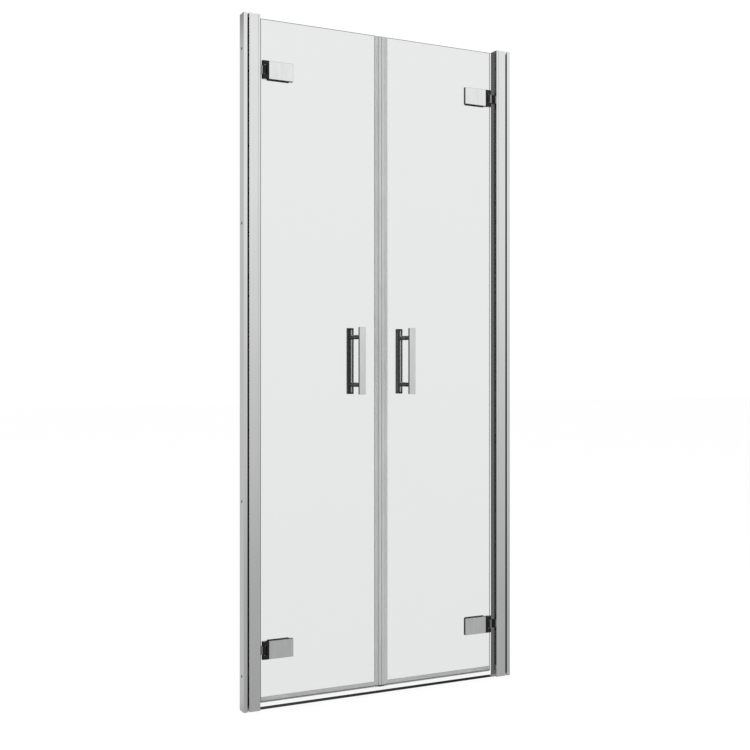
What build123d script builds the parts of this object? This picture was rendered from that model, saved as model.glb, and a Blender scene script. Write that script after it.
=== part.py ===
from build123d import *
import os

# Shower door with two hinged glass leaves that close a niche between two walls.
# Millimetres. X runs along the doorway, -Y faces the room and +Y the shower, Z is up.
# The origin is on the floor, midway between the walls, in the middle plane of the glass.
# Every piece is drawn for the right-hand side, and the left-hand one is its mirror image.

# Niche and profiles
overall_width = 877.0
overall_height = 1950.0
profile_depth = 34.0
profile_front_reach = 26.0  # from the middle of the glass to the profiles' room face
edge_break = 0.4

# Wall profile
wall_base = 2.0
wall_lip = 11.0
jamb_wall = 2.0  # also the step from the shower side's lip down to its tongue
tongue_wall = 1.5
front_tongue_depth = 9.0  # from the room face back to the room side's tongue
tongue_reach = 35.5  # from the wall to the tongue's tip
wall_hole_radius = 4.0
wall_hole_outer = 98.0  # from each end of the profile
wall_hole_inner = 586.0

# Jamb, its trim and its plug
adjust_gap = 5.5  # groove left between lip and jamb at this niche width
jamb_width = 26.3
trim_width = 6.2
trim_wall = 1.5
trim_rib = 1.2
trim_rib_inset = 6.0
guide_rib = 1.4
guide_rib_inset = 12.0  # from the jamb's open edge to the rib that rides on the front tongue
joint_bevel = 1.0
window_clearance = 0.3
plug_plate = 3.0
plug_skirt = 8.0
plug_wall = 1.5
plug_clearance = 0.2

# Lock screws between jamb and wall profile
lock_screw_radius = 2.0
lock_screw_length = 7.0
lock_head_radius = 3.5
lock_head_height = 2.0
lock_hole_clearance = 0.1
lock_from_jamb_edge = 10.0
lock_slot_length = 16.0
lock_end_distance = 60.0
lock_count = 4
cap_radius = 6.0
cap_height = 3.6
cap_round = 1.6
cap_clearance = 0.2

# Threshold bar
threshold_front_reach = 18.0  # from the middle of the glass to its room-side foot
threshold_toe = 0.6
threshold_slope = 5.4  # how far each sloping side runs back
threshold_height = 6.4
threshold_crest = 1.2
threshold_round = 0.4
threshold_channel_width = 6.0  # glue channel underneath
threshold_channel_depth = 2.4

# Glass leaves
glass_thickness = 6.0
glass_bottom = 18.0
glass_top_gap = 4.0  # below the top of the profiles
glass_jamb_gap = 9.5
glass_meeting_reach = 10.0  # from the middle of the doorway to the glass
glass_arris = 0.5

# Seals
seal_wall = 1.0
meeting_half_gap = 0.5
meeting_leg = 11.3
meeting_seal_depth = 12.0
meeting_seal_bottom = 14.0
magnet_clearance = 0.1
bottom_leg = 11.3
bottom_web = 1.5
bottom_lip_drop = 2.9
bottom_lip_width = 1.2
drip_reach = 5.0
drip_drop = 3.0
drip_thickness = 1.0
seal_end_gap = 0.7

# Handles
handle_height = 981.0
handle_from_middle = 82.0
bar_width = 20.0
bar_length = 196.0
bar_edge = 0.5
bar_inner_reach = 39.0  # from the middle of the glass to the square part of the bar
bar_thickness = 8.0
grip_rise = 7.0  # bevelled grip side, towards the glass
grip_flat = 4.0
grip_end_run = 5.0
spacer_pitch = 140.0
spacer_radius = 6.5
spacer_socket = 2.0  # past the ridge of the grip side
spacer_bore_depth = 19.0
washer_thickness = 1.0
washer_collar_radius = 4.2
washer_collar_length = 2.6
stud_radius = 3.0
stud_length = 42.0
handle_hole_radius = 4.5

# Hinges
hinge_end_distance = 145.0  # from the ends of the glass to the middle of the hinge
hinge_height = 51.0
plate_width = 73.4
plate_thickness = 9.0
plate_edge = 0.7
back_plate_thickness = 6.5
back_plate_side_inset = 8.0  # its far end stops short of the front plate's
gasket_thickness = 1.0
gasket_collar_radius = 5.6
gasket_collar_length = 2.7
pivot_from_jamb = 18.7  # from the trim's face to the pin's axis
pivot_front_reach = 8.5  # from the middle of the glass to the pin's axis
barrel_radius = 5.0
plate_to_pivot = 12.4  # from the plate's end to the pin's axis
lug_overhang = 3.3  # from the pin's axis to the middle of the lugs' round end
knuckle_height = 24.5
knuckle_gap = 1.6  # slot between knuckle and pivot block
hub_radius = 4.0  # metal core of the knuckle, inside its sleeve
tongue_length = 28.0
tongue_thickness = 4.2
tongue_half_height = 10.0
tongue_clearance = 0.1
pin_radius = 2.5
pin_recess = 0.8
pin_clearance = 0.05
bush_wall = 1.0
bush_flange_radius = 4.4
bush_flange = 0.5
knuckle_end_gap = 0.3
arm_thickness = 5.5
arm_end_gap = 4.8  # from the arm's foot to the trim's face
arm_edge = 0.5
pad_thickness = 12.0
clamp_hole_radius = 6.0
clamp_screw_radius = 3.0
clamp_screw_depth = 7.5  # into the front plate
clamp_head_radius = 5.0
clamp_head_height = 3.6
clamp_head_recess = 0.4
clamp_socket_radius = 2.3
clamp_socket_depth = 2.2
clamp_counterbore_clearance = 0.2
clamp_from_plate_edge = 19.4
clamp_pitch = 34.0
bracket_screw_radius = 1.75
bracket_screw_grip = 9.0
bracket_screw_half_pitch = 7.0
bracket_head_radius = 3.2
bracket_head_height = 2.4
bracket_hole_clearance = 0.15

# Places that follow from the sizes above
half_width = overall_width / 2
front = -profile_front_reach
back = front + profile_depth
middle_depth = (front + back) / 2
half_glass = glass_thickness / 2
lip_edge = half_width - wall_lip
jamb_outer = lip_edge - adjust_gap
jamb_face = jamb_outer - jamb_width
trim_face = jamb_face - trim_width
glass_edge = trim_face - glass_jamb_gap
glass_top = overall_height - glass_top_gap
pivot = trim_face - pivot_from_jamb
pivot_y = -pivot_front_reach
plate_end = pivot - plate_to_pivot
plate_start = plate_end - plate_width
plate_near = half_glass + gasket_thickness
plate_far = plate_near + plate_thickness
back_plate_far = plate_near + back_plate_thickness
clamp_places = [plate_start + clamp_from_plate_edge + i * clamp_pitch for i in range(2)]
hinge_heights = {
    "lower": glass_bottom + hinge_end_distance,
    "upper": glass_top - hinge_end_distance,
}
lug_gap = knuckle_height / 2 + knuckle_end_gap + bush_flange
slot_edge = pivot - barrel_radius - knuckle_gap
arm_front = pivot_y + barrel_radius - arm_thickness
arm_back = pivot_y + barrel_radius
arm_foot = trim_face - arm_end_gap
arm_middle = (arm_front + arm_back) / 2
lock_x = jamb_outer - lock_from_jamb_edge
lock_step = (overall_height - 2 * lock_end_distance) / (lock_count - 1)
lock_heights = [lock_end_distance + i * lock_step for i in range(lock_count)]
spacer_heights = [handle_height + i * spacer_pitch / 2 for i in (-1, 1)]
bar_outer_reach = bar_inner_reach + bar_thickness
grip_reach = bar_inner_reach - grip_rise
wall_hole_heights = [
    wall_hole_outer,
    wall_hole_inner,
    overall_height - wall_hole_inner,
    overall_height - wall_hole_outer,
]


def rect(x0, x1, y0, y1):
    return Pos((x0 + x1) / 2, (y0 + y1) / 2) * Rectangle(abs(x1 - x0), abs(y1 - y0))


def upright(section, z0, z1):
    return Pos(0, 0, z0) * extrude(section, amount=z1 - z0)


def along_doorway(section, x0, x1):
    # The section's first axis is Y and its second is Z.
    return Pos(x0, 0, 0) * extrude(Plane.YZ * section, amount=x1 - x0)


def block(x0, x1, y0, y1, z0, z1):
    return upright(rect(x0, x1, y0, y1), z0, z1)


def rod_x(y, z, radius, x0, x1):
    return Pos((x0 + x1) / 2, y, z) * Rot(0, 90, 0) * Cylinder(radius, abs(x1 - x0))


def rod_y(x, z, radius, y0, y1):
    return Pos(x, (y0 + y1) / 2, z) * Rot(90, 0, 0) * Cylinder(radius, abs(y1 - y0))


def rod_z(x, y, radius, z0, z1):
    return Pos(x, y, (z0 + z1) / 2) * Cylinder(radius, abs(z1 - z0))


def corners_at(shape, x, y):
    def is_there(v):
        return abs(v.X - x) < 0.01 and abs(v.Y - y) < 0.01

    return [v for v in shape.vertices() if is_there(v)]


# Pieces fixed to the walls


def wall_profile():
    section = rect(half_width - wall_base, half_width, front, back)
    lip_depth = jamb_wall + tongue_wall
    for face, inward in ((front, 1), (back, -1)):
        section += rect(lip_edge, half_width, face, face + inward * lip_depth)
    tongue_tip = half_width - tongue_reach
    front_tongue = front + front_tongue_depth
    section += rect(tongue_tip, half_width, front_tongue, front_tongue + tongue_wall)
    section += rect(tongue_tip, lip_edge, back - lip_depth, back - jamb_wall)
    section = fillet(corners_at(section, lip_edge, front), edge_break)
    profile = upright(section, 0, overall_height)
    for z in wall_hole_heights:
        profile -= rod_x(middle_depth, z, wall_hole_radius, half_width - 2 * wall_base, half_width + wall_base)
    slot_half = lock_slot_length / 2 - lock_screw_radius
    for z in lock_heights:
        y0 = back - jamb_wall - 2 * tongue_wall
        slot = block(
            lock_x - slot_half,
            lock_x + slot_half,
            y0,
            back,
            z - lock_screw_radius - lock_hole_clearance,
            z + lock_screw_radius + lock_hole_clearance,
        )
        for end in (-slot_half, slot_half):
            slot += rod_y(lock_x + end, z, lock_screw_radius + lock_hole_clearance, y0, back)
        profile -= slot
    return profile


def jamb_profile():
    section = rect(jamb_face, jamb_face + jamb_wall, front, back)
    section += rect(jamb_face, jamb_outer, front, front + jamb_wall)
    section += rect(jamb_face, jamb_outer, back - jamb_wall, back)
    rib_x = jamb_outer - guide_rib_inset
    section = chamfer(corners_at(section, jamb_face, front), joint_bevel)
    section = chamfer(corners_at(section, jamb_face, back), joint_bevel)
    section = fillet(corners_at(section, jamb_outer, front), edge_break)
    profile = upright(section, 0, overall_height)
    rib_top = overall_height - plug_plate - plug_skirt - plug_clearance
    profile += block(rib_x - guide_rib, rib_x, front + jamb_wall, front + front_tongue_depth, 0, rib_top)
    for z in lock_heights:
        profile -= rod_y(lock_x, z, lock_screw_radius + lock_hole_clearance, back - 2 * jamb_wall, back + 1)
    for z in bracket_screw_heights():
        hole = bracket_screw_radius + bracket_hole_clearance
        profile -= rod_x(arm_middle, z, hole, jamb_face - jamb_wall, jamb_face + 2 * jamb_wall)
    return profile


def jamb_trim():
    section = rect(trim_face, trim_face + trim_wall, front, back)
    section += rect(trim_face, jamb_face, front, front + trim_wall)
    section += rect(trim_face, jamb_face, back - trim_wall, back)
    for rib_y in (front + trim_rib_inset, back - trim_rib_inset):
        section += rect(trim_face, jamb_face, rib_y - trim_rib / 2, rib_y + trim_rib / 2)
    section = chamfer(corners_at(section, jamb_face, front), joint_bevel)
    section = chamfer(corners_at(section, jamb_face, back), joint_bevel)
    section = fillet(corners_at(section, trim_face, front), edge_break)
    trim = upright(section, 0, overall_height)
    half_width_y = pad_thickness / 2 + window_clearance
    half_height = knuckle_height / 2 + window_clearance
    for z in hinge_heights.values():
        trim -= block(
            trim_face - 1,
            jamb_face,
            arm_middle - half_width_y,
            arm_middle + half_width_y,
            z - half_height,
            z + half_height,
        )
    return trim


def profile_plug():
    inner_x = jamb_face + jamb_wall
    outline = rect(inner_x, jamb_outer, front + jamb_wall, back - jamb_wall - tongue_wall)
    tongue = front + front_tongue_depth
    outline -= rect(
        half_width - tongue_reach - plug_clearance,
        jamb_outer,
        tongue - plug_clearance,
        tongue + tongue_wall + plug_clearance,
    )
    plug = upright(outline, overall_height - plug_plate, overall_height)
    skirt = outline - offset(outline, -plug_wall)
    return plug + upright(skirt, overall_height - plug_plate - plug_skirt, overall_height - plug_plate)


def lock_screw(z):
    screw = rod_y(lock_x, z, lock_screw_radius, back - lock_screw_length, back)
    head = rod_y(lock_x, z, lock_head_radius, back, back + lock_head_height)
    head = fillet(head.edges().sort_by(Axis.Y)[-1], lock_head_height / 3)
    return screw + head


def lock_screw_cap(z):
    cap = rod_y(lock_x, z, cap_radius, back, back + cap_height)
    cap = fillet(cap.edges().sort_by(Axis.Y)[-1], cap_round)
    pocket_depth = lock_head_height + cap_clearance
    return cap - rod_y(lock_x, z, lock_head_radius + cap_clearance, back, back + pocket_depth)


def threshold_bar():
    room_face = -threshold_front_reach
    crest_start = room_face + threshold_slope
    crest_end = crest_start + threshold_crest
    shower_face = crest_end + threshold_slope
    section = make_face(
        Polyline(
            (room_face, 0),
            (room_face, threshold_toe),
            (crest_start, threshold_height),
            (crest_end, threshold_height),
            (shower_face, threshold_toe),
            (shower_face, 0),
            close=True,
        )
    )
    crest = corners_at(section, crest_start, threshold_height) + corners_at(section, crest_end, threshold_height)
    section = fillet(crest, threshold_round)
    middle = (room_face + shower_face) / 2
    half = threshold_channel_width / 2
    section -= rect(middle - half, middle + half, 0, threshold_channel_depth)
    return along_doorway(section, -trim_face, trim_face)


def hinge_bracket(z):
    section = Pos(pivot, pivot_y) * Circle(hub_radius)
    section += rect(pivot, arm_foot, arm_front, arm_back)
    bracket = upright(section, z - knuckle_height / 2, z + knuckle_height / 2)
    foot_edges = [e for e in bracket.edges() if abs(e.center().X - arm_foot) < 0.01]
    bracket = chamfer(foot_edges, arm_edge)
    bracket -= rod_z(pivot, pivot_y, pin_radius, z - knuckle_height, z + knuckle_height)
    for side in (-1, 1):
        screw_z = z + side * bracket_screw_half_pitch
        bracket -= rod_x(arm_middle, screw_z, bracket_screw_radius, arm_foot - bracket_screw_grip, arm_foot)
    return bracket


def knuckle_sleeve(z):
    section = Pos(pivot, pivot_y) * (Circle(barrel_radius) - Circle(hub_radius))
    section -= rect(pivot, arm_foot, arm_front, arm_back)
    return upright(section, z - knuckle_height / 2, z + knuckle_height / 2)


def bracket_screw_heights():
    return [z + side * bracket_screw_half_pitch for z in hinge_heights.values() for side in (-1, 1)]


def hinge_bracket_pad(z):
    pad = block(
        arm_foot,
        jamb_face,
        arm_middle - pad_thickness / 2,
        arm_middle + pad_thickness / 2,
        z - knuckle_height / 2,
        z + knuckle_height / 2,
    )
    for side in (-1, 1):
        screw_z = z + side * bracket_screw_half_pitch
        hole = bracket_screw_radius + bracket_hole_clearance
        pad -= rod_x(arm_middle, screw_z, hole, arm_foot - 1, jamb_face + 1)
    return pad


def hinge_bracket_screw(z):
    seat = jamb_face + jamb_wall
    screw = rod_x(arm_middle, z, bracket_screw_radius, arm_foot - bracket_screw_grip, seat)
    head = rod_x(arm_middle, z, bracket_head_radius, seat, seat + bracket_head_height)
    return screw + fillet(head.edges().sort_by(Axis.X)[-1], bracket_head_height / 3)


def hinge_pin(z):
    half = hinge_height / 2 - pin_recess
    pin = rod_z(pivot, pivot_y, pin_radius, z - half, z + half)
    return chamfer(pin.edges().filter_by(GeomType.CIRCLE), edge_break)


# Pieces that swing with a leaf


def glass_leaf():
    pane = block(glass_meeting_reach, glass_edge, -half_glass, half_glass, glass_bottom, glass_top)
    faces = pane.faces().sort_by(Axis.Y)
    pane = chamfer(faces[0].edges() + faces[-1].edges(), glass_arris)
    for z in spacer_heights:
        pane -= rod_y(handle_from_middle, z, handle_hole_radius, -glass_thickness, glass_thickness)
    for z in hinge_heights.values():
        for x in clamp_places:
            pane -= rod_y(x, z, clamp_hole_radius, -glass_thickness, glass_thickness)
    return pane


def meeting_seal():
    chamber_end = glass_meeting_reach - seal_wall
    half_depth = meeting_seal_depth / 2
    section = rect(meeting_half_gap, chamber_end, -half_depth, half_depth)
    section = fillet(section.vertices(), edge_break)
    section -= rect(
        meeting_half_gap + seal_wall,
        chamber_end - seal_wall,
        seal_wall - half_depth,
        half_depth - seal_wall,
    )
    section += rect(chamber_end, glass_meeting_reach, -half_glass - seal_wall, half_glass + seal_wall)
    leg_end = glass_meeting_reach + meeting_leg
    for side in (-1, 1):
        section += rect(chamber_end, leg_end, side * half_glass, side * (half_glass + seal_wall))
    return upright(section, meeting_seal_bottom, glass_top)


def magnet_strip():
    inset = seal_wall + magnet_clearance
    half_depth = meeting_seal_depth / 2 - inset
    section = rect(meeting_half_gap + inset, glass_meeting_reach - seal_wall - inset, -half_depth, half_depth)
    return upright(section, meeting_seal_bottom, glass_top)


def bottom_seal():
    web_bottom = glass_bottom - bottom_web
    reach = half_glass + seal_wall
    section = rect(-reach, reach, web_bottom, glass_bottom)
    for side in (-1, 1):
        section += rect(side * half_glass, side * reach, web_bottom, glass_bottom + bottom_leg)
    section += rect(-bottom_lip_width / 2, bottom_lip_width / 2, web_bottom - bottom_lip_drop, web_bottom)
    drip = Polyline(
        (reach, web_bottom + drip_thickness),
        (reach + drip_reach, web_bottom + drip_thickness - drip_drop),
        (reach + drip_reach, web_bottom - drip_drop),
        (reach, web_bottom),
        close=True,
    )
    section += make_face(drip)
    start = glass_meeting_reach + meeting_leg + seal_end_gap
    return along_doorway(section, start, glass_edge)


def handle_bar(side):
    slab = block(
        handle_from_middle - bar_width / 2,
        handle_from_middle + bar_width / 2,
        bar_inner_reach,
        bar_outer_reach,
        handle_height - bar_length / 2,
        handle_height + bar_length / 2,
    )
    slab = chamfer(slab.faces().sort_by(Axis.Y)[-1].edges(), bar_edge)
    grip_plane = Plane(origin=(handle_from_middle, bar_inner_reach, handle_height), x_dir=(1, 0, 0), z_dir=(0, -1, 0))
    ridge_plane = grip_plane.offset(grip_rise)
    grip = loft(
        [
            grip_plane * Rectangle(bar_width, bar_length),
            ridge_plane * Rectangle(grip_flat, bar_length - 2 * grip_end_run),
        ]
    )
    bar = slab + grip
    for z in spacer_heights:
        socket_end = grip_reach + spacer_socket
        bar -= rod_y(handle_from_middle, z, spacer_radius, 0, socket_end)
    return bar if side > 0 else mirror(bar, about=Plane.XZ)


def handle_spacer(side, z):
    near = side * (half_glass + washer_thickness)
    spacer = rod_y(handle_from_middle, z, spacer_radius, near, side * (grip_reach + spacer_socket))
    return spacer - rod_y(handle_from_middle, z, stud_radius, near - side, near + side * spacer_bore_depth)


def handle_stud(z):
    return rod_y(handle_from_middle, z, stud_radius, -stud_length / 2, stud_length / 2)


def handle_washer(side, z):
    x = handle_from_middle
    washer = rod_y(x, z, spacer_radius, side * half_glass, side * (half_glass + washer_thickness))
    washer += rod_y(x, z, washer_collar_radius, side * half_glass, side * (half_glass - washer_collar_length))
    return washer - rod_y(x, z, stud_radius, -bar_inner_reach, bar_inner_reach)


def hinge_front_plate(z):
    half = hinge_height / 2
    plate = block(plate_start, plate_end, -plate_far, -plate_near, z - half, z + half)
    room_face = plate.faces().sort_by(Axis.Y)[0]
    plate = fillet(room_face.edges(), plate_edge)
    plate -= block(
        plate_end - tongue_length - tongue_clearance,
        plate_end,
        -plate_near - tongue_thickness - tongue_clearance,
        -plate_near,
        z - tongue_half_height - tongue_clearance,
        z + tongue_half_height + tongue_clearance,
    )
    for x in clamp_places:
        plate -= rod_y(x, z, clamp_screw_radius, -plate_near - clamp_screw_depth, -plate_near)
    return plate


def hinge_back_plate(z):
    half = hinge_height / 2
    plate = block(plate_start + back_plate_side_inset, plate_end, plate_near, back_plate_far, z - half, z + half)
    plate = fillet(plate.faces().sort_by(Axis.Y)[-1].edges(), plate_edge)
    head_seat = back_plate_far - clamp_head_recess - clamp_head_height
    for x in clamp_places:
        plate -= rod_y(x, z, clamp_screw_radius, plate_near - 1, back_plate_far)
        plate -= rod_y(x, z, clamp_head_radius + clamp_counterbore_clearance, head_seat, back_plate_far + 1)
    return plate


def hinge_pivot_block(z):
    half = hinge_height / 2
    lug_end = pivot + lug_overhang
    section = rect(plate_end, lug_end, pivot_y - barrel_radius, pivot_y + barrel_radius)
    section += Pos(lug_end, pivot_y) * Circle(barrel_radius)
    body = upright(section, z - half, z + half)
    body -= block(
        slot_edge,
        pivot + 3 * barrel_radius,
        pivot_y - 2 * barrel_radius,
        pivot_y + 2 * barrel_radius,
        z - lug_gap,
        z + lug_gap,
    )
    body -= rod_z(pivot, pivot_y, pin_radius + pin_clearance + bush_wall, z - half - 1, z + half + 1)
    body += block(
        plate_end - tongue_length,
        plate_end,
        -plate_near - tongue_thickness,
        -plate_near,
        z - tongue_half_height,
        z + tongue_half_height,
    )
    return body - rod_y(clamp_places[-1], z, clamp_screw_radius, -plate_far, 0)


def hinge_gasket(side, z):
    half = hinge_height / 2
    start = plate_start + (back_plate_side_inset if side > 0 else 0)
    gasket = block(start, plate_end, side * half_glass, side * plate_near, z - half, z + half)
    for x in clamp_places:
        collar_end = side * (half_glass - gasket_collar_length)
        gasket += rod_y(x, z, gasket_collar_radius, side * half_glass, collar_end)
        gasket -= rod_y(x, z, clamp_screw_radius, -plate_far, plate_far)
    return gasket


def hinge_clamp_screw(x, z):
    head_seat = back_plate_far - clamp_head_recess - clamp_head_height
    head_top = back_plate_far - clamp_head_recess
    screw = rod_y(x, z, clamp_screw_radius, -plate_near - clamp_screw_depth, head_seat)
    head = rod_y(x, z, clamp_head_radius, head_seat, head_top)
    socket = Plane(origin=(x, head_top, z), z_dir=(0, -1, 0)) * RegularPolygon(clamp_socket_radius, 6)
    return screw + head - extrude(socket, amount=clamp_socket_depth)


def hinge_bush(side, z):
    inner = pin_radius + pin_clearance
    lug_face = z + side * lug_gap
    lug_end = z + side * hinge_height / 2
    bush = rod_z(pivot, pivot_y, inner + bush_wall, lug_face, lug_end)
    bush += rod_z(pivot, pivot_y, bush_flange_radius, lug_face, lug_face - side * bush_flange)
    return bush - rod_z(pivot, pivot_y, inner, z - hinge_height, z + hinge_height)


# Nodes


def right_hand_nodes():
    heights = hinge_heights.values()
    nodes = {
        "wall_profile": [wall_profile()],
        "jamb_profile": [jamb_profile()],
        "jamb_trim": [jamb_trim()],
        "profile_plug": [profile_plug()],
        "hinge_bracket_pads": [hinge_bracket_pad(z) for z in heights],
        "hinge_knuckle_sleeves": [knuckle_sleeve(z) for z in heights],
        "hinge_pins": [hinge_pin(z) for z in heights],
        "glass_leaf": [glass_leaf()],
        "meeting_seal": [meeting_seal()],
        "magnet_strip": [magnet_strip()],
        "bottom_seal": [bottom_seal()],
        "handle_outer_bar": [handle_bar(-1)],
        "handle_inner_bar": [handle_bar(1)],
        "handle_spacers": [handle_spacer(side, z) for side in (-1, 1) for z in spacer_heights],
        "handle_studs": [handle_stud(z) for z in spacer_heights],
        "handle_washers": [handle_washer(side, z) for side in (-1, 1) for z in spacer_heights],
        "hinge_gaskets": [hinge_gasket(side, z) for side in (-1, 1) for z in heights],
        "hinge_clamp_screws": [hinge_clamp_screw(x, z) for x in clamp_places for z in heights],
        "hinge_bushes": [hinge_bush(side, z) for side in (-1, 1) for z in heights],
    }
    for level, z in hinge_heights.items():
        nodes["hinge_bracket_" + level] = [hinge_bracket(z)]
        nodes["hinge_front_plate_" + level] = [hinge_front_plate(z)]
        nodes["hinge_back_plate_" + level] = [hinge_back_plate(z)]
        nodes["hinge_pivot_block_" + level] = [hinge_pivot_block(z)]
    return nodes


def both_hands(pieces):
    return pieces + [mirror(p, about=Plane.YZ) for p in pieces]


def write_node(name, pieces):
    solids = [solid for piece in pieces for solid in piece.solids()]
    shape = solids[0] if len(solids) == 1 else Compound(children=solids)
    export_step(shape, "parts/" + name + ".step")


os.makedirs("parts", exist_ok=True)

for name, pieces in right_hand_nodes().items():
    write_node(name + "_right", pieces)
    write_node(name + "_left", [mirror(p, about=Plane.YZ) for p in pieces])

write_node("threshold_bar", [threshold_bar()])
write_node("lock_screws", both_hands([lock_screw(z) for z in lock_heights]))
write_node("lock_screw_caps", both_hands([lock_screw_cap(z) for z in lock_heights]))
write_node("hinge_bracket_screws", both_hands([hinge_bracket_screw(z) for z in bracket_screw_heights()]))
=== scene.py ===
import math

import bpy
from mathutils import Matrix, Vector

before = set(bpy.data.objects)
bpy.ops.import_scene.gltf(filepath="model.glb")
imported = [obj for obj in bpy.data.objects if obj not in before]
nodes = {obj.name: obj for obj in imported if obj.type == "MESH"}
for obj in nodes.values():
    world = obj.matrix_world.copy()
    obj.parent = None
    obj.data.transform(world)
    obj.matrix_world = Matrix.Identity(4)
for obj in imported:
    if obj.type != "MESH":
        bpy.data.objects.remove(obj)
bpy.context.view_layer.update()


# A socket that can be written into sums: each operator adds one Math node.
class Signal:
    def __init__(self, graph, socket):
        self.graph = graph
        self.socket = socket

    def join(self, operation, first, second):
        return self.graph.add("Math", {"operation": operation}, {0: first, 1: second})

    def __add__(self, other):
        return self.join("ADD", self, other)

    def __radd__(self, other):
        return self.join("ADD", other, self)

    def __sub__(self, other):
        return self.join("SUBTRACT", self, other)

    def __rsub__(self, other):
        return self.join("SUBTRACT", other, self)

    def __mul__(self, other):
        return self.join("MULTIPLY", self, other)

    def __truediv__(self, other):
        return self.join("DIVIDE", self, other)

    def __gt__(self, other):
        return self.join("GREATER_THAN", self, other)

    def __lt__(self, other):
        return self.join("LESS_THAN", self, other)


class Graph:
    def __init__(self, tree):
        tree.nodes.clear()
        self.tree = tree

    def add(self, kind, settings=None, inputs=None, output=0):
        made = self.tree.nodes.new("ShaderNode" + kind)
        for name, value in (settings or {}).items():
            if name == "stops":
                fillRamp(made.color_ramp, value)
            else:
                setattr(made, name, value)
        for name, value in (inputs or {}).items():
            if isinstance(value, Signal):
                self.tree.links.new(value.socket, made.inputs[name])
            else:
                made.inputs[name].default_value = value
        return Signal(self, made.outputs[output]) if made.outputs else None

    def place(self):
        return self.add("TexCoord", output="Object")

    def part(self, vector, axis):
        return self.add("SeparateXYZ", inputs={0: vector}, output=axis)

    def magnitude(self, value):
        return self.add("Math", {"operation": "ABSOLUTE"}, {0: value})

    def noise(self, stretch, detail=3.0, roughness=0.5):
        scaled = self.add("VectorMath", {"operation": "MULTIPLY"}, {0: self.place(), 1: stretch})
        values = {"Vector": scaled, "Scale": 1.0, "Detail": detail, "Roughness": roughness}
        return self.add("TexNoise", inputs=values)

    def ramp(self, value, stops):
        return self.add("ValToRGB", {"stops": stops}, {"Fac": value})

    def mix(self, factor, first, second):
        return self.add("Mix", {"data_type": "RGBA"}, {0: factor, 6: first, 7: second}, output=2)

    def bump(self, height, strength, distance):
        return self.add("Bump", inputs={"Strength": strength, "Distance": distance, "Height": height})


def fillRamp(ramp, stops):
    while len(ramp.elements) > 1:
        ramp.elements.remove(ramp.elements[-1])
    for i, (position, value) in enumerate(stops):
        element = ramp.elements[0] if i == 0 else ramp.elements.new(position)
        element.position = position
        element.color = (value, value, value, 1.0) if isinstance(value, (int, float)) else (*value, 1.0)


def newFinish(name):
    material = bpy.data.materials.new(name)
    material.use_nodes = True
    return material, Graph(material.node_tree)


def finishWith(graph, values):
    shader = graph.add("BsdfPrincipled", inputs=values)
    graph.add("OutputMaterial", inputs={"Surface": shader})


# Bright anodised aluminium: fine die lines run up the extrusions.
profileLook = {
    "dark": (0.84, 0.845, 0.85, 1.0),
    "light": (0.93, 0.933, 0.937, 1.0),
    "lineStretch": (1800.0, 1800.0, 2.0),
    "cloudStretch": (9.0, 9.0, 3.0),
    "cloudShare": 0.6,
    "toneStops": [(0.3, 0.0), (0.7, 1.0)],
    "roughness": 0.05,
    "cloudRoughness": 0.04,
    "lineRoughness": 0.04,
    "lineStrength": 0.25,
    "lineDepth": 0.000002,
}


def makeProfileFinish():
    look = profileLook
    material, g = newFinish("anodised_profile")
    lines = g.noise(look["lineStretch"], 4.0)
    cloud = g.noise(look["cloudStretch"])
    blend = cloud * look["cloudShare"] + lines * (1 - look["cloudShare"])
    tone = g.ramp(blend, look["toneStops"])
    finishWith(g, {
        "Base Color": g.mix(tone, look["dark"], look["light"]),
        "Metallic": 1.0,
        "Roughness": look["roughness"] + cloud * look["cloudRoughness"] + lines * look["lineRoughness"],
        "Normal": g.bump(lines, look["lineStrength"], look["lineDepth"]),
    })
    return material


# Polished chrome plate: faint wiping marks and the soft waviness of cast metal under it.
# The hinge arms get a painted shade: a darker base colour stands in for the shadow of the trim on them.
# Their start and end are distances from the middle of the doorway.
chromeLook = {
    "dark": (0.88, 0.885, 0.89, 1.0),
    "light": (0.95, 0.952, 0.955, 1.0),
    "smearStretch": (90.0, 60.0, 25.0),
    "waveStretch": (35.0, 35.0, 35.0),
    "toneStops": [(0.35, 0.0), (0.65, 1.0)],
    "roughness": 0.025,
    "smearRoughness": 0.04,
    "waveStrength": 0.3,
    "waveDepth": 0.000004,
    # Painted shade colour for the hinge arms, standing in for the shadow of the trim.
    "arm": (0.30, 0.305, 0.31, 1.0),
    "armStart": 0.3745,
    "armEnd": 0.3895,
}


def makeChromeFinish():
    look = chromeLook
    material, g = newFinish("chrome_plate")
    smear = g.noise(look["smearStretch"], 5.0, 0.6)
    wave = g.noise(look["waveStretch"], 2.0)
    tone = g.ramp(smear, look["toneStops"])
    fromMiddle = g.magnitude(g.part(g.place(), 0))
    # Painted shade: the base colour turns dark on the hinge arms, where the trim shadows them.
    inPaintedArmShade = (fromMiddle > look["armStart"]) * (fromMiddle < look["armEnd"])
    plate = g.mix(tone, look["dark"], look["light"])
    finishWith(g, {
        "Base Color": g.mix(inPaintedArmShade, plate, look["arm"]),
        "Metallic": 1.0,
        "Roughness": look["roughness"] + smear * look["smearRoughness"],
        "Normal": g.bump(wave, look["waveStrength"], look["waveDepth"]),
    })
    return material


# Stainless steel screws, studs and pins, with fine turning marks.
steelLook = {
    "dark": (0.42, 0.42, 0.43, 1.0),
    "light": (0.62, 0.62, 0.63, 1.0),
    "grainStretch": (1500.0, 90.0, 1500.0),
    "roughness": 0.22,
    "grainRoughness": 0.15,
    "turnedStrength": 0.3,
    "turnedDepth": 0.00002,
}


def makeSteelFinish():
    look = steelLook
    material, g = newFinish("turned_steel")
    grain = g.noise(look["grainStretch"], 4.0)
    finishWith(g, {
        "Base Color": g.mix(grain, look["dark"], look["light"]),
        "Metallic": 1.0,
        "Roughness": look["roughness"] + grain * look["grainRoughness"],
        "Normal": g.bump(grain, look["turnedStrength"], look["turnedDepth"]),
    })
    return material


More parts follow.
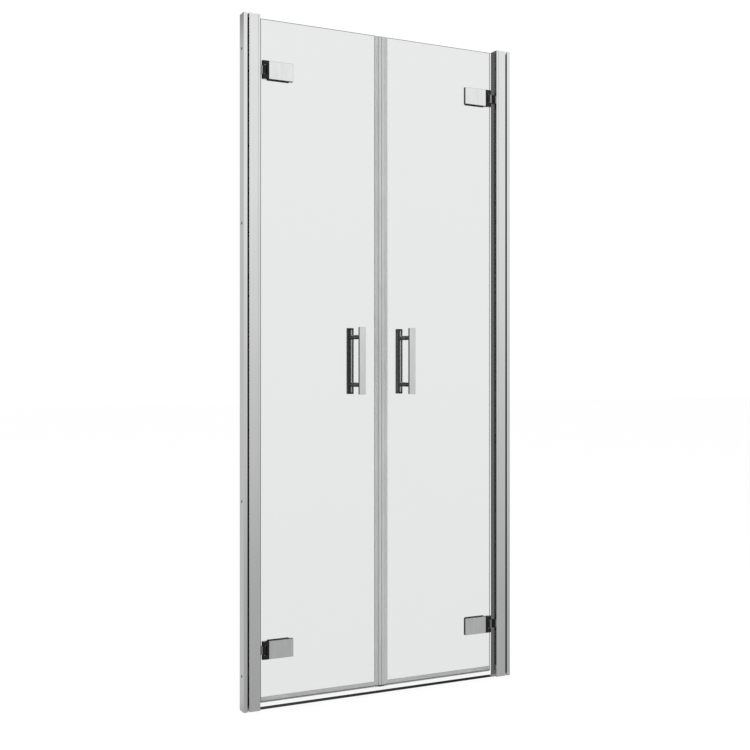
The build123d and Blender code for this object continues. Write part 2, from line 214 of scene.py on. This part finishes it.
# Clear toughened glass, slightly grey, with the faint roller waves of toughening and dark edges.
glassLook = {
    "tint": (0.80, 0.805, 0.805, 1.0),
    "edgeTint": (0.055, 0.075, 0.07, 1.0),
    "faceTurn": 0.9,
    "waveStretch": (2.0, 2.0, 9.0),
    "markStretch": (40.0, 40.0, 18.0),
    "markStops": [(0.55, 0.0), (0.95, 0.012)],
    "ior": 1.48,
    "waveStrength": 0.1,
    "waveDepth": 0.00001,
}


def makeGlassFinish():
    look = glassLook
    material, g = newFinish("clear_glass")
    wave = g.noise(look["waveStretch"], 1.0)
    marks = g.noise(look["markStretch"], 6.0, 0.7)
    normal = g.add("TexCoord", output="Normal")
    onFace = g.magnitude(g.part(normal, 1)) > look["faceTurn"]
    finishWith(g, {
        "Base Color": g.mix(onFace, look["edgeTint"], look["tint"]),
        "Metallic": 0.0,
        "Roughness": g.ramp(marks, look["markStops"]),
        "IOR": look["ior"],
        "Transmission Weight": 1.0,
        "Normal": g.bump(wave, look["waveStrength"], look["waveDepth"]),
    })
    return material


# Soft clear strip: cloudy, with extrusion streaks along its length, and a painted shade below the glass
# height that stands in for the dark bottom edge of the glass seen through the strip.
sealLook = {
    "dark": (0.60, 0.61, 0.61, 1.0),
    "light": (0.76, 0.77, 0.77, 1.0),
    # Painted shade for the strip below the glass height, standing in for the dark glass edge seen through
    # it.
    "paintedLowShade": (0.10, 0.11, 0.11, 1.0),
    "lowHeight": 0.0195,
    "streakStretch": (700.0, 700.0, 3.0),
    "cloudStretch": (30.0, 30.0, 12.0),
    "thin": 0.34,
    "thick": 0.50,
    "roughness": 0.28,
    "streakRoughness": 0.15,
    "ior": 1.5,
    "streakStrength": 0.2,
    "streakDepth": 0.00001,
}


def makeSealFinish():
    look = sealLook
    material, g = newFinish("clear_strip")
    streak = g.noise(look["streakStretch"], 3.0)
    cloud = g.noise(look["cloudStretch"], 4.0)
    # Painted shade: the strip's base colour turns dark below the glass height.
    inPaintedLowShade = g.part(g.place(), 2) < look["lowHeight"]
    strip = g.mix(cloud, look["dark"], look["light"])
    finishWith(g, {
        "Base Color": g.mix(inPaintedLowShade, strip, look["paintedLowShade"]),
        "Metallic": 0.0,
        "Roughness": look["roughness"] + streak * look["streakRoughness"],
        "Alpha": look["thin"] + streak * (look["thick"] - look["thin"]),
        "IOR": look["ior"],
        "Normal": g.bump(streak, look["streakStrength"], look["streakDepth"]),
    })
    return material


# Moulded and rubber pieces, all with the same grain at their own scale in grains per metre.
plainLooks = {
    "magnet": {
        "dark": 0.10, "light": 0.17, "roughness": 0.55, "specular": 0.4, "scale": 220.0, "depth": 0.00004,
    },
    "dark_plastic": {
        "dark": 0.006, "light": 0.016, "roughness": 0.36, "specular": 0.22, "scale": 900.0, "depth": 0.00004,
    },
    "white_plastic": {
        "dark": 0.66, "light": 0.78, "roughness": 0.35, "specular": 0.5, "scale": 500.0, "depth": 0.00003,
    },
    "gasket": {
        "dark": 0.010, "light": 0.022, "roughness": 0.7, "specular": 0.3, "scale": 700.0, "depth": 0.00006,
    },
}
mouldedLook = {
    "cloudStretch": (12.0, 12.0, 12.0),
    "cloudShare": 0.5,
    "blueShare": 1.02,
    "grainRoughness": 0.2,
    "grainStrength": 0.35,
}


def makePlainFinish(name, look):
    moulded = mouldedLook
    material, g = newFinish("moulded_" + name)
    scale = look["scale"]
    grain = g.noise((scale, scale, scale), 4.0)
    cloud = g.noise(moulded["cloudStretch"], 3.0)
    blend = cloud * moulded["cloudShare"] + grain * (1 - moulded["cloudShare"])
    greys = [look["dark"], look["light"]]
    dark, light = [(grey, grey, grey * moulded["blueShare"], 1.0) for grey in greys]
    finishWith(g, {
        "Base Color": g.mix(blend, dark, light),
        "Metallic": 0.0,
        "Specular IOR Level": look["specular"],
        "Roughness": look["roughness"] + (grain - 0.5) * moulded["grainRoughness"],
        "Normal": g.bump(grain, moulded["grainStrength"], look["depth"]),
    })
    return material


finishes = {
    "profile": makeProfileFinish(),
    "chrome": makeChromeFinish(),
    "steel": makeSteelFinish(),
    "glass": makeGlassFinish(),
    "clear_seal": makeSealFinish(),
}
for slotName, look in plainLooks.items():
    finishes[slotName] = makePlainFinish(slotName, look)
for node in nodes.values():
    for slot in node.material_slots:
        slot.material = finishes[slot.material.name.split(".")[0]]
print("finishes done:", len(finishes))


# Studio: white for the eye, a room of soft boxes and dark gaps for the metal.
studioLook = {
    "background": 1.02,
    "behindGlass": 0.10,
    "ambient": 0.85,
    "floorGlow": 0.74,
    "floorTone": 0.3,
    "floorRoughness": 0.9,
    "floorRadius": 30.0,
}
# Turn 0.5 is the room side (-Y), 0 and 1 the shower side, 0.75 the right (+X).
# Rise 0 is straight down, 0.5 level and 1 straight up. Each pair gives a place and a brightness.
frontBox = [(0.0, 0.0), (0.345, 0.0), (0.385, 1.0), (0.615, 1.0), (0.67, 0.0), (1.0, 0.0)]
sideBoxes = [
    (0.0, 0.55), (0.056, 0.54), (0.070, 0.45), (0.078, 0.36), (0.088, 0.14), (0.097, 0.03),
    (0.115, 0.03), (0.125, 0.40), (0.225, 0.40), (0.235, 0.50), (0.34, 0.50), (0.355, 0.30),
    (0.385, 0.0),
    (0.725, 0.03), (0.735, 0.45), (0.765, 0.45), (0.775, 0.03),
    (0.85, 0.03), (0.86, 0.40), (0.905, 0.40), (0.915, 0.03), (0.96, 0.03), (0.978, 0.52),
    (1.0, 0.55),
]
frontRise = [
    (0.0, 0.25), (0.35, 0.36), (0.40, 0.42), (0.443, 0.50), (0.488, 0.57), (0.533, 0.68),
    (0.578, 0.775), (0.65, 0.83), (0.76, 0.75), (0.82, 0.04), (1.0, 0.04),
]
sideRise = [
    (0.0, 0.6), (0.25, 0.05), (0.33, 0.05), (0.36, 1.0), (0.64, 1.0), (0.67, 0.05), (0.75, 0.05),
    (1.0, 0.9),
]

# How much the panes dim a reflection that crosses them, and the bright strip above level behind the door.
paneShade = [(0.0, 0.0), (0.077, 0.0), (0.083, 0.85), (0.9, 0.85), (0.95, 0.0), (1.0, 0.0)]
backBox = [(0.0, 0.0), (0.88, 0.0), (0.90, 0.9), (0.97, 0.9), (0.99, 0.0), (1.0, 0.0)]
backRise = [(0.0, 0.0), (0.620, 0.0), (0.627, 1.0), (0.70, 1.0), (0.72, 0.0), (1.0, 0.0)]


def makeStudioWorld():
    world = bpy.data.worlds.new("studio")
    bpy.context.scene.world = world
    world.use_nodes = True
    world.cycles.sampling_method = "NONE"
    g = Graph(world.node_tree)
    direction = g.add("TexCoord", output="Generated")
    x, y, z = [g.part(direction, axis) for axis in range(3)]
    turn = g.add("Math", {"operation": "ARCTAN2"}, {0: x, 1: 0 - y}) / (2 * math.pi) + 0.5
    height = z * 0.5 + 0.5
    front = g.ramp(turn, frontBox) * g.ramp(height, frontRise)
    side = g.ramp(turn, sideBoxes) * g.ramp(height, sideRise)
    # Metal that is seen through the panes mirrors the front box, and only a little of the side boxes.
    pastGlass = g.add("LightPath", output="Transmission Depth") > 0.5
    straight = g.add("LightPath", output="Is Glossy Ray")
    behind = pastGlass * straight * (1 - studioLook["behindGlass"])
    across = pastGlass * (1 - straight) * g.ramp(turn, paneShade)
    backShine = g.ramp(turn, backBox) * g.ramp(height, backRise)
    seen = front + side * (1 - behind) * (1 - across) + backShine
    reflected = g.add("LightPath", output="Glossy Depth") > 0.5
    diffuse = g.add("LightPath", output="Is Diffuse Ray")
    plain = studioLook["background"] + diffuse * (studioLook["ambient"] - studioLook["background"])
    strength = plain + reflected * (seen - plain)
    shader = g.add("Background", inputs={"Color": (1.0, 1.0, 1.0, 1.0), "Strength": strength})
    g.add("OutputWorld", inputs={"Surface": shader})


def makeFloor():
    radius = studioLook["floorRadius"]
    corners = [(-radius, -radius, 0), (radius, -radius, 0), (radius, radius, 0), (-radius, radius, 0)]
    mesh = bpy.data.meshes.new("floor")
    mesh.from_pydata(corners, [], [(0, 1, 2, 3)])
    floor = bpy.data.objects.new("floor", mesh)
    bpy.context.scene.collection.objects.link(floor)
    material, g = newFinish("pale_floor")
    tone = studioLook["floorTone"]
    finishWith(g, {
        "Base Color": (tone, tone, tone, 1.0),
        "Roughness": studioLook["floorRoughness"],
        "Emission Color": (1.0, 1.0, 1.0, 1.0),
        "Emission Strength": studioLook["floorGlow"],
    })
    mesh.materials.append(material)
    floor.visible_glossy = False
    floor.visible_transmission = False


# Both lights are round and point near the middle of the door.
lightLooks = {
    "key": {"place": (-1.8, -3.0, 3.2), "target": (0.0, 0.0, 1.0), "size": 2.4, "watts": 60.0},
    "fill": {"place": (2.6, -1.8, 2.0), "target": (0.0, 0.0, 0.9), "size": 2.4, "watts": 25.0},
}


def addLight(name, look):
    data = bpy.data.lights.new(name, "AREA")
    data.shape = "DISK"
    data.size = look["size"]
    data.energy = look["watts"]
    light = bpy.data.objects.new(name, data)
    light.location = look["place"]
    sight = Vector(look["target"]) - Vector(look["place"])
    light.rotation_euler = sight.to_track_quat("-Z", "Y").to_euler()
    light.visible_glossy = False
    light.visible_camera = False
    light.visible_transmission = False
    bpy.context.scene.collection.objects.link(light)


makeStudioWorld()
makeFloor()
for lightName, look in lightLooks.items():
    addLight(lightName, look)
bpy.context.scene.view_settings.view_transform = "Standard"
print("studio done")

# Camera: level, at a standing viewer's chest, a little left of the door.
cameraLook = {
    "place": (-1.461, -2.930, 0.944),
    "turn": -26.2,
    "lens": 52.8,
    "shift": -0.002,
}
cameraData = bpy.data.cameras.new("camera")
cameraData.lens = cameraLook["lens"]
cameraData.shift_y = cameraLook["shift"]
camera = bpy.data.objects.new("camera", cameraData)
camera.location = cameraLook["place"]
camera.rotation_euler = (math.radians(90), 0, math.radians(cameraLook["turn"]))
bpy.context.scene.collection.objects.link(camera)
bpy.context.scene.camera = camera
print("camera done")
